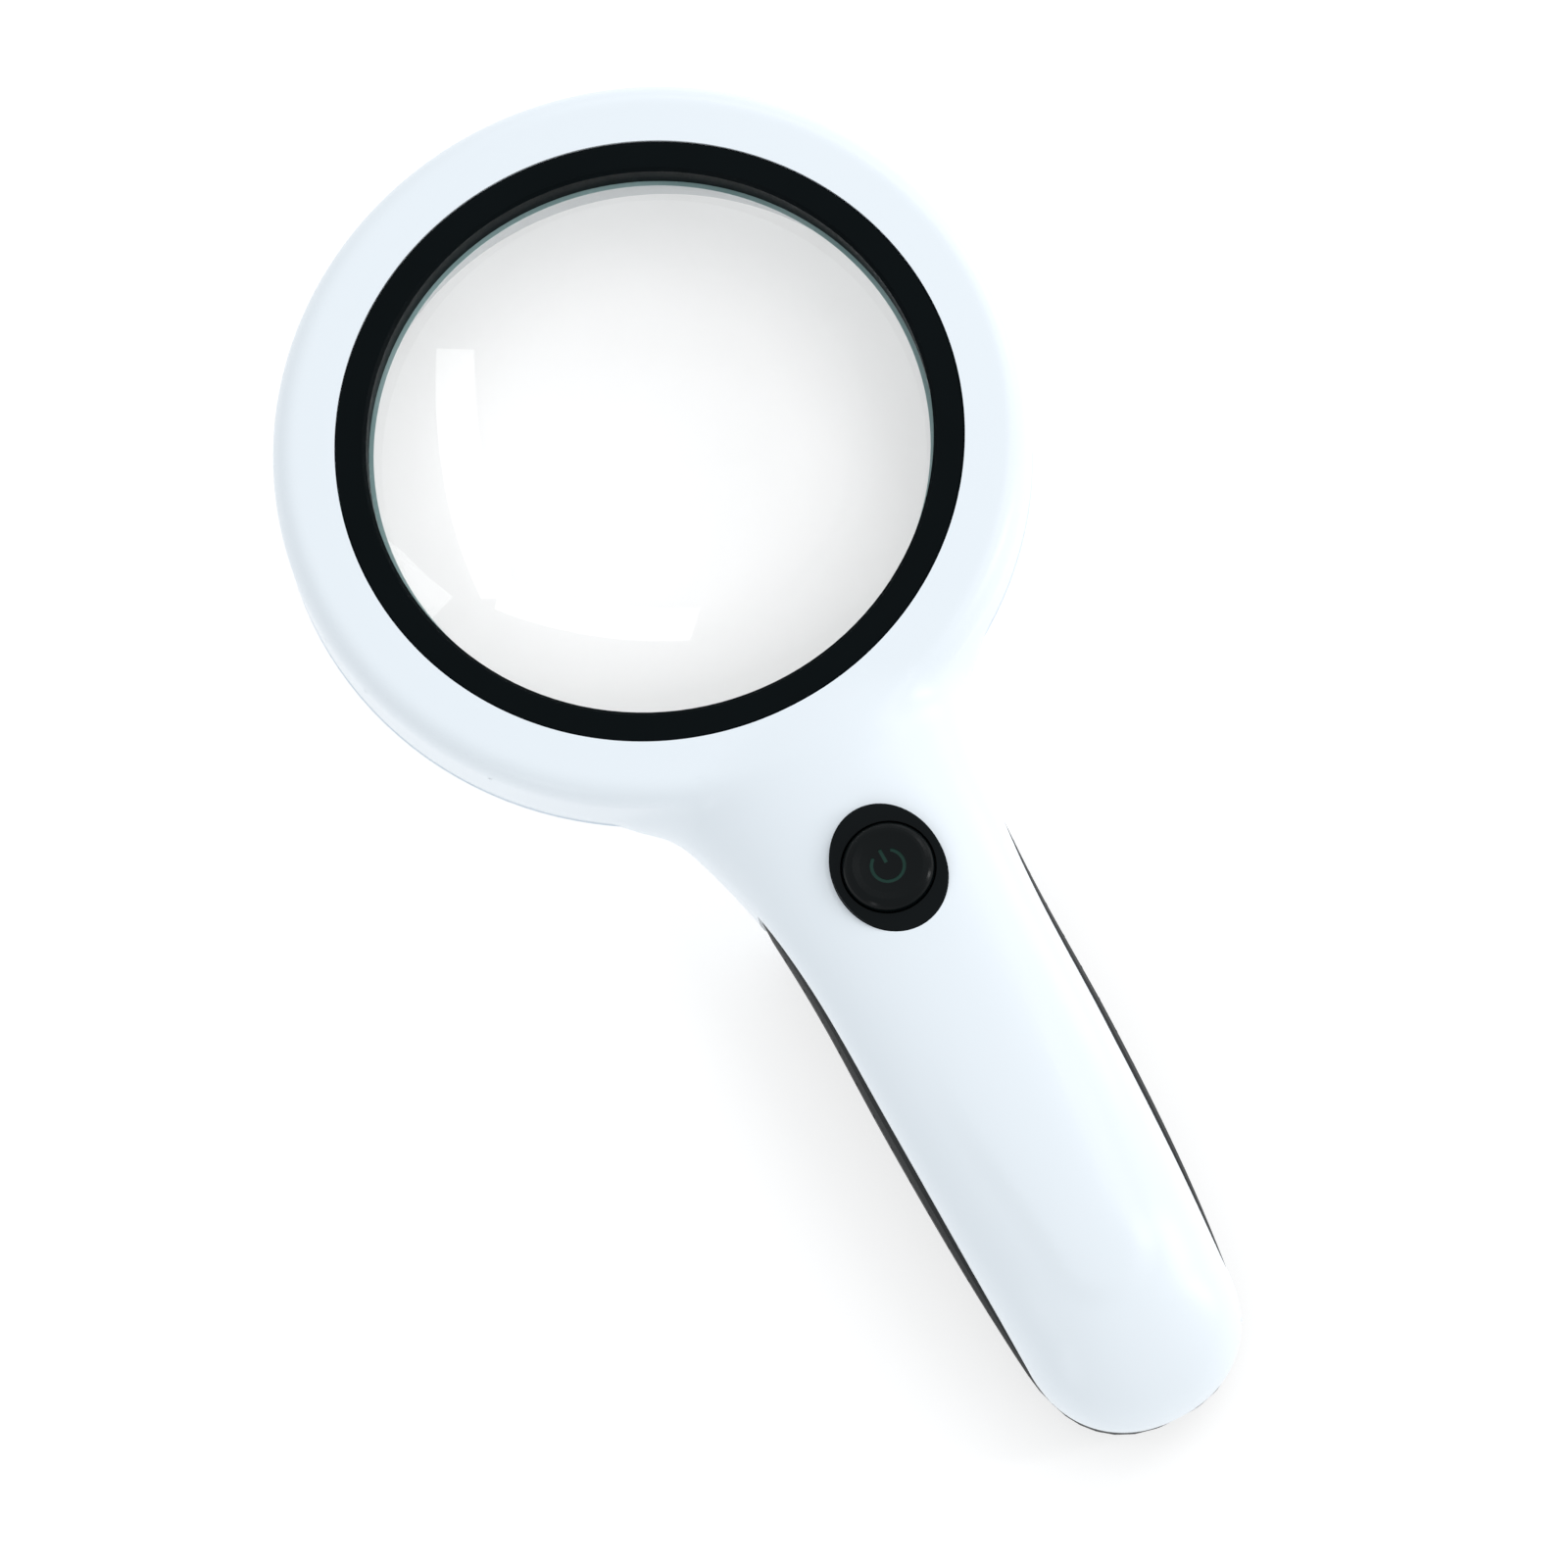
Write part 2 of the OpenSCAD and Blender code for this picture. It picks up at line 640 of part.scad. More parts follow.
module cell_springs() {
    color([0.8, 0.8, 0.78]) {
        on_left() translate([0, 0, bay_end_s - plate_t]) mirror([0, 0, 1]) coil(3, 1.8, 0.3, 3, spring_room);
        on_right() translate([0, 0, bay_end_s - plate_t]) mirror([0, 0, 1]) coil(3, 1.8, 0.3, 3, spring_room);
        on_top() translate([0, 0, bay_s + plate_t]) coil(3, 1.8, 0.3, 3, spring_room);
    }
}

// Point on a smooth curve through the corners of a path, u in corners from the first
function on_path(path, u) =
    let (last = len(path) - 1, i = min(floor(u), last - 1), f = u - i)
    let (p = path[i], q = path[i + 1], before = path[max(i - 1, 0)], after = path[min(i + 2, last)])
    let (m0 = (q - before) / 2, m1 = (after - p) / 2)
    (2 * f * f * f - 3 * f * f + 1) * p + (f * f * f - 2 * f * f + f) * m0
    + (3 * f * f - 2 * f * f * f) * q + (f * f * f - f * f) * m1;

// Insulated wire along a path, an eight-sided tube with its ends cut square
module wire(r, path, side) {
    steps = 4 * (len(path) - 1);
    loft([for (j = [0 : steps])
        let (u = j / 4, p = on_path(path, u), ahead = on_path(path, min(u + 0.05, steps / 4)),
            behind = on_path(path, max(u - 0.05, 0)), d = (ahead - behind) / norm(ahead - behind),
            a = cross(d, side) / norm(cross(d, side)), b = cross(d, a))
        [for (k = [0 : 7]) p + r * (cos(45 * k) * a - sin(45 * k) * b)]]);
}

module positive_wire() {
    color([0.8, 0.1, 0.1])
    wire(0.5, [[-11, -75, lead_h], [-11, -75, lead_h + 1], [-11, -75.2, 13], [-10.4, -76.2, 14], [-8.5, -78, 13]],
        [0, 1, 0]);
}

module negative_wire() {
    color([0.08, 0.08, 0.08])
    wire(0.5, [[11, -75, lead_h], [11, -75, lead_h + 1], [11.4, -75.4, 14], [12.8, -80, 16],
        [12.8, -104, 16.4], [12.6, -126, 14.4], [10.4, -130.8, 12]], [1, 0.3, 0]);
}

// Wire from the switch board to the lamp board, on one side of the middle
module lamp_wire(side) {
    wire(0.5, [[side * 6, -66, lead_h], [side * 6, -66, lead_h + 1], [side * 5.8, -64, 13], [side * 4.5, -56, 13.6],
        [side * 3, -46, 12], [side * 3, -44.4, lamp_lead_h + 1], [side * 3, -44.4, lamp_lead_h]], [1, 0, 0]);
}

module lamp_wire_live() {
    color([0.85, 0.1, 0.1])
    lamp_wire(-1);
}

module lamp_wire_return() {
    color([0.9, 0.9, 0.9])
    lamp_wire(1);
}

module place() {
    translate([0, (tail_s - head_r) / 2, 0]) children();
}

place() front_shell();
place() rear_shell();
place() soft_grip();
place() lens_bezel();
place() magnifying_lens();
place() lens_gasket();
place() lamp_cover_ring();
place() lamp_board();
place() lamps();
place() lamp_resistors();
place() switch_surround();
place() power_button();
place() switch_case();
place() switch_plunger();
place() switch_spring();
place() switch_board();
place() board_screws();
place() housing_screws();
place() battery_tray();
place() battery_left();
place() battery_right();
place() battery_top();
place() positive_terminal();
place() negative_terminal();
place() front_bridge();
place() rear_bridge();
place() cell_springs();
place() battery_door();
place() positive_wire();
place() negative_wire();
place() lamp_wire_live();
place() lamp_wire_return();
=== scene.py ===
"""Looks of the illuminated hand magnifier: smooth shells, glass, lamps and procedural materials."""

import math

import bmesh
import bpy
import numpy as np
from mathutils import Matrix, Vector
from mathutils.bvhtree import BVHTree


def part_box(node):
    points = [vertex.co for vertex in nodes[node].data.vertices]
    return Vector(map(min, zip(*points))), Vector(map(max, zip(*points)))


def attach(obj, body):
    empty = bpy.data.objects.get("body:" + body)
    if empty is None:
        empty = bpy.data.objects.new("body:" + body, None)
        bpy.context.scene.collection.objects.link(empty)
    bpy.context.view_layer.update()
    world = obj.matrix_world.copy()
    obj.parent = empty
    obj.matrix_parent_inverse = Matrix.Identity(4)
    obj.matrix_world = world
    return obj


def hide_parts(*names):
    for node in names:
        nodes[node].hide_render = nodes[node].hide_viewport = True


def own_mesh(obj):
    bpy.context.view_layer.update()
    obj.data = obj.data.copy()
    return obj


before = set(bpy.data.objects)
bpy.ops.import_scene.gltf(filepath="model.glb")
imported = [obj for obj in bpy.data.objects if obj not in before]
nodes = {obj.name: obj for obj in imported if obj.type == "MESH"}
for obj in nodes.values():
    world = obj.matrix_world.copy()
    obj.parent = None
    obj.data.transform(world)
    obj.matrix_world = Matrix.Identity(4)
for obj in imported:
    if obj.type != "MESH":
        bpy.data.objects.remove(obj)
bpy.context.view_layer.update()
MM = 0.001

# ---------------------------------------------------------------- driving sizes, in millimetres
LENS_LOW, LENS_HIGH = [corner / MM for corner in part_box("magnifying_lens")]
BEZEL_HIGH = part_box("lens_bezel")[1] / MM
FRONT_LOW, FRONT_HIGH = [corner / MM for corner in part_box("front_shell")]
BUTTON_LOW, BUTTON_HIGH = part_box("power_button")
AXIS_Y = (LENS_LOW[1] + LENS_HIGH[1]) / 2   # the lens axis; shapes below are drawn round it
LENS_R = LENS_HIGH[0]
BEZEL_R = BEZEL_HIGH[0]
HEAD_R = FRONT_HIGH[0]
HEAD_H = BEZEL_HIGH[2] + 0.15
EDGE_ROUND = 3.0          # radius of the head's front edge
SEAM_H = 11.1             # height of the parting line round the head
RIM_R = 47.7              # radius of the head where it stands on the table
REAR_BLEND = 0.8          # rounding between the head's wall and the cone under it
HANDLE_S = 37.0           # distance from the lens axis at which the handle starts, inside the head
NECK_BLEND = 4.2          # rounding between head and handle
SEAM_LEAVES = (0.6, 4.0)  # how far outside the head the parting line starts to arch, and follows EDGE
CAP_S = 136.0             # where the tail starts to round off
TAIL_S = AXIS_Y - FRONT_LOW[1]
BUTTON_TOP = BUTTON_HIGH[2] / MM
SWITCH_S = AXIS_Y - (BUTTON_LOW[1] + BUTTON_HIGH[1]) / 2 / MM
CROWN_POWER, BELLY_POWER, CAP_POWER = 2.2, 3, 2.2
BELLY_DEPTH = 0.97        # part of the belly's full depth at which its flat underside lies
SKIN_STEP, QUICK_STEP = 0.7, 1.0

# Stations along the handle: [distance from the lens axis, value]
# Half-width at the parting line
WIDTH = [(36, 20), (41, 24.3), (44, 24.9), (48, 22.4), (55, 20.1), (66, 17.7), (80, 16.3), (100, 15.95),
         (120, 15.5), (137, 14.8)]
# Height of the parting line
EDGE = [(36, 11.1), (43, 11.1), (50, 12.5), (57, 14.9), (68, 19), (80, 20.3), (95, 20.5), (107, 19.7),
        (118, 18), (128, 15.3), (137, 11.7), (151, 9.4)]
# Height of the crown
CROWN = [(36, 12), (41, 17.5), (45, 21.2), (49, 22.9), (55, 24.3), (62, 25.5), (70, 26.3), (80, 26.9),
         (92, 27.2), (104, 27.05), (116, 26.2), (127, 24.6), (137, 21.4), (151, 17)]
# Height of the underside
UNDER = [(36, 9), (43, 7), (50, 4.6), (57, 3.4), (64, 1.4), (72, -1), (151, -1)]


def curve(table, s):
    """Smooth curve through a table's stations, for an array of distances."""
    s = np.clip(np.asarray(s, float), table[0][0], table[-1][0])
    xs = np.array([row[0] for row in table], float)
    ys = np.array([row[1] for row in table], float)
    count = len(xs)
    before = np.maximum(np.arange(count) - 1, 0)
    after = np.minimum(np.arange(count) + 1, count - 1)
    slopes = (ys[after] - ys[before]) / (xs[after] - xs[before])
    i = np.clip(np.searchsorted(xs, s, side="right") - 1, 0, count - 2)
    h = xs[i + 1] - xs[i]
    u = (s - xs[i]) / h
    return ((2 * u**3 - 3 * u**2 + 1) * ys[i] + (u**3 - 2 * u**2 + u) * h * slopes[i]
            + (3 * u**2 - 2 * u**3) * ys[i + 1] + (u**3 - u**2) * h * slopes[i + 1])


def smooth_step(low, high, value):
    """0 at low, 1 at high, smooth between; low may be the greater of the two."""
    u = np.clip((value - low) / (high - low), 0, 1)
    return u * u * (3 - 2 * u)


def soft_min(a, b, reach):
    """The smaller of a and b, rounded off where they differ by less than reach."""
    h = np.clip(0.5 + 0.5 * (b - a) / reach, 0, 1)
    return b * (1 - h) + a * h - reach * h * (1 - h)


# ---------------------------------------------------------------- the outer skin as one smooth field
def head_field(x, y, z):
    """Distance-like field of the head: a disc with a rounded front edge and a coned rear."""
    r = np.hypot(x, y)
    a = r - (HEAD_R - EDGE_ROUND)
    b = z - (HEAD_H - EDGE_ROUND)
    front = np.hypot(np.maximum(a, 0), np.maximum(b, 0)) + np.minimum(np.maximum(a, b), 0) - EDGE_ROUND
    slope = math.atan2(HEAD_R - RIM_R, SEAM_H)
    cone = (r - HEAD_R) * math.cos(slope) - (z - SEAM_H) * math.sin(slope)
    return -soft_min(-front, -cone, REAR_BLEND)


def crown_relief(x, s):
    """Very shallow raised tongue on the crown that ends in a round tip before the tail."""
    half = 8.6 - 2.2 * smooth_step(104, 130, s)
    tip = 135.5
    height = 0.42
    along = np.maximum(s - (tip - half), 0)
    edge = np.hypot(x, along) - half
    return height * smooth_step(1.6, -2.2, edge) * smooth_step(92, 118, s)


def handle_field(x, y, z):
    """Distance-like field of the handle: superellipse sections along -y, whose tail rounds off.

    The section's value is 1 on the surface; its excess is scaled by the distance from the section's centre.
    """
    s = -y
    w = curve(WIDTH, np.minimum(s, CAP_S))
    e = curve(EDGE, s)
    rise = curve(CROWN, s) + crown_relief(x, s) - e
    depth = (e - curve(UNDER, s)) / BELLY_DEPTH
    past = np.maximum(s - CAP_S, 0)
    cap = (past / (TAIL_S - CAP_S)) ** CAP_POWER
    up = (np.abs(x) / w) ** CROWN_POWER + (np.maximum(z - e, 0) / rise) ** CROWN_POWER + cap
    down = (np.abs(x) / w) ** BELLY_POWER + (np.maximum(e - z, 0) / depth) ** BELLY_POWER + cap
    crown = up ** (1 / CROWN_POWER)
    value = np.where(z >= e, crown, np.maximum(down, 1e-9) ** (1 / BELLY_POWER))
    value = np.where((z < e) & (down <= 1), np.maximum(value, crown), value)
    spoke = np.sqrt(x**2 + (z - e) ** 2 + past**2) / np.maximum(value, 1e-6)
    return (value - 1) * np.clip(spoke, 1, 60)


def body_field(p):
    """Head and handle as one field, negative inside."""
    x, y, z = p[:, 0], p[:, 1], p[:, 2]
    handle = handle_field(x, y, z)
    handle = np.where(-y < HANDLE_S, np.maximum(handle, HANDLE_S + y), handle)
    return soft_min(head_field(x, y, z), handle, NECK_BLEND)


def field_gradient(p, h=0.01):
    g = np.empty_like(p)
    for axis in range(3):
        step = np.zeros(3)
        step[axis] = h
        g[:, axis] = (body_field(p + step) - body_field(p - step)) / (2 * h)
    return g


def skin_mesh(low, high, step):
    """Surface nets over the field in a box, each point then moved onto the true surface."""
    rounds, least_slope = 12, 0.05
    axes = [np.arange(low[k], high[k] + step, step) for k in range(3)]
    grid = np.stack(np.meshgrid(*axes, indexing="ij"), axis=-1)
    shape = grid.shape[:3]
    f = body_field(grid.reshape(-1, 3)).reshape(shape)
    inside = f < 0
    cells = tuple(n - 1 for n in shape)
    corners = [inside[i:i + cells[0], j:j + cells[1], k:k + cells[2]]
               for i in (0, 1) for j in (0, 1) for k in (0, 1)]
    total = sum(c.astype(np.int8) for c in corners)
    active = (total > 0) & (total < 8)
    index = -np.ones(cells, int)
    index[active] = np.arange(active.sum())
    ijk = np.argwhere(active)
    points = np.array([axes[k][ijk[:, k]] for k in range(3)]).T + step / 2
    quads = []
    for axis in range(3):
        a, b = [k for k in range(3) if k != axis]
        shift = [0, 0, 0]
        shift[axis] = 1
        here = inside[:shape[0] - shift[0], :shape[1] - shift[1], :shape[2] - shift[2]]
        there = inside[shift[0]:, shift[1]:, shift[2]:]
        edges = np.argwhere(here != there)
        flip = here[tuple(edges.T)]
        ok = (edges[:, a] > 0) & (edges[:, b] > 0) & (edges[:, a] < cells[a]) & (edges[:, b] < cells[b])
        edges, flip = edges[ok], flip[ok]
        ring = []
        for da, db in ((1, 1), (0, 1), (0, 0), (1, 0)):
            cell = edges.copy()
            cell[:, a] -= da
            cell[:, b] -= db
            ring.append(index[tuple(cell.T)])
        ring = np.array(ring).T
        if axis == 1:
            flip = ~flip
        ring[~flip] = ring[~flip][:, ::-1]
        quads.append(ring)
    quads = np.concatenate(quads)
    for _ in range(rounds):
        value = body_field(points)
        g = field_gradient(points)
        move = value[:, None] * g / np.maximum((g * g).sum(1), least_slope)[:, None]
        size = np.linalg.norm(move, axis=1)
        points -= move * np.minimum(1, 0.5 * step / np.maximum(size, 1e-9))[:, None]
    return points, quads


def clip(points, faces, keep):
    """Cuts a mesh along keep(p) = 0 and leaves the side where it is positive, with a clean edge."""
    nearly_on = 1e-4
    value = keep(points)
    value = np.where(np.abs(value) < nearly_on, nearly_on, value)
    points = [tuple(p) for p in points]
    made = {}
    result = []

    def crossing(a, b):
        key = (min(a, b), max(a, b))
        if key not in made:
            t = value[a] / (value[a] - value[b])
            p, q = np.array(points[a]), np.array(points[b])
            made[key] = len(points)
            points.append(tuple(p + (q - p) * t))
        return made[key]

    for face in faces:
        signs = [value[v] > 0 for v in face]
        if all(signs):
            result.append(list(face))
        elif any(signs):
            corners = []
            for k, v in enumerate(face):
                w = face[(k + 1) % len(face)]
                if value[v] > 0:
                    corners.append(v)
                if (value[v] > 0) != (value[w] > 0):
                    corners.append(crossing(v, w))
            if len(corners) > 2:
                result.append(corners)
    used = sorted({v for face in result for v in face})
    place = {v: i for i, v in enumerate(used)}
    kept = np.array([points[v] for v in used])
    return kept, [[place[v] for v in face] for face in result]


def boundary(faces):
    """Edges that belong to one face only, in that face's direction."""
    count = {}
    for face in faces:
        for k, v in enumerate(face):
            w = face[(k + 1) % len(face)]
            key = (min(v, w), max(v, w))
            count.setdefault(key, []).append((v, w))
    return [edges[0] for edges in count.values() if len(edges) == 1]


def to_frame(points):
    """From millimetres round the lens axis to metres in the shared frame."""
    moved = np.asarray(points, float).reshape(-1, 3) * MM
    moved[:, 1] += AXIS_Y * MM
    return moved


def new_piece(name, points, faces, material, body="body", smooth=True):
    """A mesh object from points in millimetres round the lens axis, on its body."""
    mesh = bpy.data.meshes.new(name)
    mesh.from_pydata([tuple(p) for p in to_frame(points)], [], [list(map(int, f)) for f in faces])
    mesh.validate()
    mesh.update()
    obj = bpy.data.objects.new(name, mesh)
    bpy.context.scene.collection.objects.link(obj)
    if smooth:
        mesh.polygons.foreach_set("use_smooth", [True] * len(mesh.polygons))
    mesh.materials.append(material)
    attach(obj, body)
    return obj


def shell_piece(name, points, faces, material, depth):
    """A clipped skin with a rim of the given depth along all its free edges.

    The rim goes straight down at the bezel and at the switch, and into the wall elsewhere.
    """
    bezel_reach, switch_reach = BEZEL_R + 0.6, 11
    points, faces = np.asarray(points), [list(f) for f in faces]
    outer = len(points)
    normals = field_gradient(points)
    normals /= np.maximum(np.linalg.norm(normals, axis=1), 1e-6)[:, None]
    edges = boundary(faces)
    extra, place = [], {}
    for v, w in edges:
        for a in (v, w):
            if a not in place:
                p = points[a]
                at_bezel = math.hypot(p[0], p[1]) < bezel_reach
                at_switch = math.hypot(p[0], p[1] + SWITCH_S) < switch_reach
                inward = np.array([0, 0, -1.0]) if at_bezel or at_switch else -normals[a]
                place[a] = outer + len(extra)
                extra.append(p + inward * depth)
    rim = [[w, v, place[v], place[w]] for v, w in edges]
    obj = new_piece(name, np.concatenate([points, np.array(extra)]), faces + rim, material)
    free = {(min(v, w), max(v, w)) for v, w in edges}
    bm = bmesh.new()
    bm.from_mesh(obj.data)
    bmesh.ops.recalc_face_normals(bm, faces=bm.faces)
    for edge in bm.edges:
        edge.smooth = (min(v.index for v in edge.verts), max(v.index for v in edge.verts)) not in free
    bm.to_mesh(obj.data)
    bm.free()
    return obj


def turned(name, profile, material, steps=192):
    """A ring round the lens axis, from the (r, z) points of its closed section."""
    n = len(profile)
    points = []
    for i in range(steps):
        a = 2 * math.pi * i / steps
        points += [(r * math.cos(a), r * math.sin(a), z) for r, z in profile]
    faces = []
    for i in range(steps):
        j = (i + 1) % steps
        for k in range(n):
            m = (k + 1) % n
            faces.append([i * n + k, j * n + k, j * n + m, i * n + m])
    obj = new_piece(name, points, faces, material)
    weld(obj)
    smooth_by_angle(obj)
    return obj


def weld(obj, distance=1e-7):
    """Joins points that coincide and turns all faces outward."""
    bm = bmesh.new()
    bm.from_mesh(obj.data)
    bmesh.ops.remove_doubles(bm, verts=bm.verts, dist=distance)
    bmesh.ops.recalc_face_normals(bm, faces=bm.faces)
    bm.to_mesh(obj.data)
    bm.free()


def smooth_by_angle(obj, degrees=30):
    """Smooth shading, with sharp edges where two faces meet at more than the angle."""
    mesh = obj.data
    mesh.polygons.foreach_set("use_smooth", [True] * len(mesh.polygons))
    bm = bmesh.new()
    bm.from_mesh(mesh)
    limit = math.radians(degrees)
    for edge in bm.edges:
        edge.smooth = not (len(edge.link_faces) == 2 and edge.calc_face_angle(0) > limit)
    bm.to_mesh(mesh)
    bm.free()


# ---------------------------------------------------------------- materials
def new_material(name):
    """An empty material with a Principled shader on its output."""
    material = bpy.data.materials.new(name)
    material.use_nodes = True
    tree = material.node_tree
    tree.nodes.clear()
    out = tree.nodes.new("ShaderNodeOutputMaterial")
    shader = tree.nodes.new("ShaderNodeBsdfPrincipled")
    tree.links.new(shader.outputs[0], out.inputs[0])
    return material, tree, shader, out


def surface(name, dark, light, rough, spread, grain, patch, bump, depth, metallic=0.0, specular=0.5):
    """Moulded or worked surface: patchy tone, fine grain in the relief and uneven gloss.

    The tone goes from dark to light in patches and the roughness is rough +- spread. Grain and patch are
    noise scales; bump and depth are the strength and the height in metres of the relief.
    """
    material, tree, shader, _ = new_material(name)
    make = tree.nodes.new
    link = tree.links.new
    place = make("ShaderNodeTexCoord")
    broad = make("ShaderNodeTexNoise")
    broad.inputs["Scale"].default_value = patch
    broad.inputs["Detail"].default_value = 4
    fine = make("ShaderNodeTexNoise")
    fine.inputs["Scale"].default_value = grain
    fine.inputs["Detail"].default_value = 3
    for texture in (broad, fine):
        link(place.outputs["Object"], texture.inputs["Vector"])
    tone = make("ShaderNodeMix")
    tone.data_type = "RGBA"
    tone.inputs[6].default_value = (*dark, 1)
    tone.inputs[7].default_value = (*light, 1)
    link(broad.outputs["Fac"], tone.inputs[0])
    link(tone.outputs[2], shader.inputs["Base Color"])
    gloss = make("ShaderNodeMapRange")
    gloss.inputs["To Min"].default_value = max(rough - spread, 0.02)
    gloss.inputs["To Max"].default_value = rough + spread
    link(fine.outputs["Fac"], gloss.inputs["Value"])
    link(gloss.outputs[0], shader.inputs["Roughness"])
    relief = make("ShaderNodeBump")
    relief.inputs["Strength"].default_value = bump
    relief.inputs["Distance"].default_value = depth
    link(fine.outputs["Fac"], relief.inputs["Height"])
    link(relief.outputs[0], shader.inputs["Normal"])
    shader.inputs["Metallic"].default_value = metallic
    shader.inputs["Specular IOR Level"].default_value = specular
    return material


def glass(name, tint, rim, radius, rough=0.0, ior=1.52):
    """Clear glass with painted shade toward its edge at radius, the base colour going from tint to rim, that
    lets the light of the room through.
    """
    # Painted shade: between these distances from the lens axis the base colour darkens from tint to rim.
    shade_from, shade_to = 0.45 * radius, 1.1 * radius
    material, tree, shader, out = new_material(name)
    place = tree.nodes.new("ShaderNodeTexCoord")
    flat = tree.nodes.new("ShaderNodeVectorMath")
    flat.operation = "MULTIPLY"
    flat.inputs[1].default_value = (1, 1, 0)
    reach = tree.nodes.new("ShaderNodeVectorMath")
    reach.operation = "DISTANCE"
    reach.inputs[1].default_value = (0, AXIS_Y * MM, 0)
    edge_shade = tree.nodes.new("ShaderNodeMapRange")
    edge_shade.interpolation_type = "SMOOTHSTEP"
    edge_shade.inputs["From Min"].default_value = shade_from
    edge_shade.inputs["From Max"].default_value = shade_to
    tone = tree.nodes.new("ShaderNodeMix")
    tone.data_type = "RGBA"
    tone.inputs[6].default_value = (*tint, 1)
    tone.inputs[7].default_value = (*rim, 1)
    tree.links.new(place.outputs["Object"], flat.inputs[0])
    tree.links.new(flat.outputs[0], reach.inputs[0])
    tree.links.new(reach.outputs["Value"], edge_shade.inputs["Value"])
    tree.links.new(edge_shade.outputs[0], tone.inputs[0])
    tree.links.new(tone.outputs[2], shader.inputs["Base Color"])
    shader.inputs["Roughness"].default_value = rough
    shader.inputs["IOR"].default_value = ior
    shader.inputs["Transmission Weight"].default_value = 1.0
    path = tree.nodes.new("ShaderNodeLightPath")
    clear = tree.nodes.new("ShaderNodeBsdfTransparent")
    clear.inputs["Color"].default_value = (*tint, 1)
    mix = tree.nodes.new("ShaderNodeMixShader")
    tree.links.new(path.outputs["Is Shadow Ray"], mix.inputs[0])
    tree.links.new(shader.outputs[0], mix.inputs[1])
    tree.links.new(clear.outputs[0], mix.inputs[2])
    tree.links.new(mix.outputs[0], out.inputs[0])
    return material


def sleeve(name, node, nub_first):
    """Printed sleeve of a dry cell: a copper band at its raised end, dark below, bare steel at both ends."""
    copper_from, dark_from, steel_from = 0.03, 0.3, 0.985   # parts of the cell's length
    steel, copper, dark = (0.55, 0.55, 0.54, 1), (0.42, 0.20, 0.08, 1), (0.025, 0.028, 0.033, 1)
    bare, foil, film = (1, 1, 1, 1), (0.6, 0.6, 0.6, 1), (0, 0, 0, 1)
    material = surface(name, (0.5, 0.5, 0.5), (0.5, 0.5, 0.5), 0.28, 0.05, 900, 140, 0.1, 1e-5)
    tree = material.node_tree
    shader = tree.nodes["Principled BSDF"]
    low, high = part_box(node)
    place = tree.nodes.new("ShaderNodeTexCoord")
    split = tree.nodes.new("ShaderNodeSeparateXYZ")
    along = tree.nodes.new("ShaderNodeMapRange")
    along.inputs["From Min"].default_value = high[1] if nub_first else low[1]
    along.inputs["From Max"].default_value = low[1] if nub_first else high[1]
    tree.links.new(place.outputs["Object"], split.inputs[0])
    tree.links.new(split.outputs["Y"], along.inputs["Value"])
    for socket, shades in (("Base Color", (steel, copper, dark, steel)),
                           ("Metallic", (bare, foil, film, bare))):
        ramp = tree.nodes.new("ShaderNodeValToRGB")
        ramp.color_ramp.interpolation = "CONSTANT"
        ramp.color_ramp.elements[0].color = shades[0]
        ramp.color_ramp.elements[1].position = copper_from
        ramp.color_ramp.elements[1].color = shades[1]
        for position, shade in ((dark_from, shades[2]), (steel_from, shades[3])):
            ramp.color_ramp.elements.new(position).color = shade
        tree.links.new(along.outputs[0], ramp.inputs[0])
        tree.links.new(ramp.outputs[0], shader.inputs[socket])
    return material


# Arguments: name, dark, light, rough, spread, grain, patch, bump, depth
WHITE = surface("white_abs", (0.84, 0.90, 0.955), (0.86, 0.915, 0.965), 0.32, 0.03, 1400, 25, 0.08, 1e-5)
BEZEL = surface("bezel_black", (0.001, 0.0028, 0.0035), (0.0018, 0.004, 0.005),
                0.42, 0.08, 2600, 80, 0.35, 2e-5, specular=0.05)
GRIP = surface("soft_grip_black", (0.006, 0.008, 0.009), (0.010, 0.013, 0.014),
               0.55, 0.08, 2200, 90, 0.5, 3e-5, specular=0.22)
BUTTON = surface("button_black", (0.001, 0.0025, 0.003), (0.002, 0.0035, 0.004),
                 0.22, 0.04, 2000, 120, 0.12, 1e-5, specular=0.15)
SURROUND = surface("surround_black", (0.002, 0.0035, 0.0042), (0.0035, 0.0055, 0.0065),
                   0.35, 0.06, 2400, 110, 0.25, 2e-5, specular=0.09)
DOOR = surface("door_black", (0.008, 0.009, 0.010), (0.013, 0.015, 0.016),
               0.45, 0.08, 2400, 70, 0.4, 2e-5, specular=0.2)
COVER = surface("cover_white", (0.78, 0.81, 0.83), (0.82, 0.85, 0.87), 0.35, 0.05, 1500, 50, 0.1, 1e-5)
GASKET = surface("gasket", (0.012, 0.012, 0.012), (0.02, 0.02, 0.02), 0.7, 0.1, 3000, 90, 0.5, 2e-5)
BOARD = surface("board", (0.006, 0.06, 0.025), (0.01, 0.09, 0.035), 0.35, 0.1, 1800, 160, 0.3, 2e-5)
STEEL = surface("steel", (0.42, 0.42, 0.43), (0.55, 0.55, 0.56), 0.3, 0.12, 3500, 200, 0.3, 1e-5, metallic=1)
NICKEL = surface("nickel", (0.5, 0.47, 0.4), (0.6, 0.57, 0.5), 0.28, 0.1, 3000, 200, 0.3, 1e-5, metallic=1)
TRAY = surface("tray_black", (0.012, 0.012, 0.013), (0.02, 0.02, 0.022), 0.5, 0.1, 2200, 90, 0.4, 2e-5)
CASE = surface("switch_case", (0.01, 0.02, 0.10), (0.02, 0.03, 0.14), 0.45, 0.1, 2000, 120, 0.3, 2e-5)
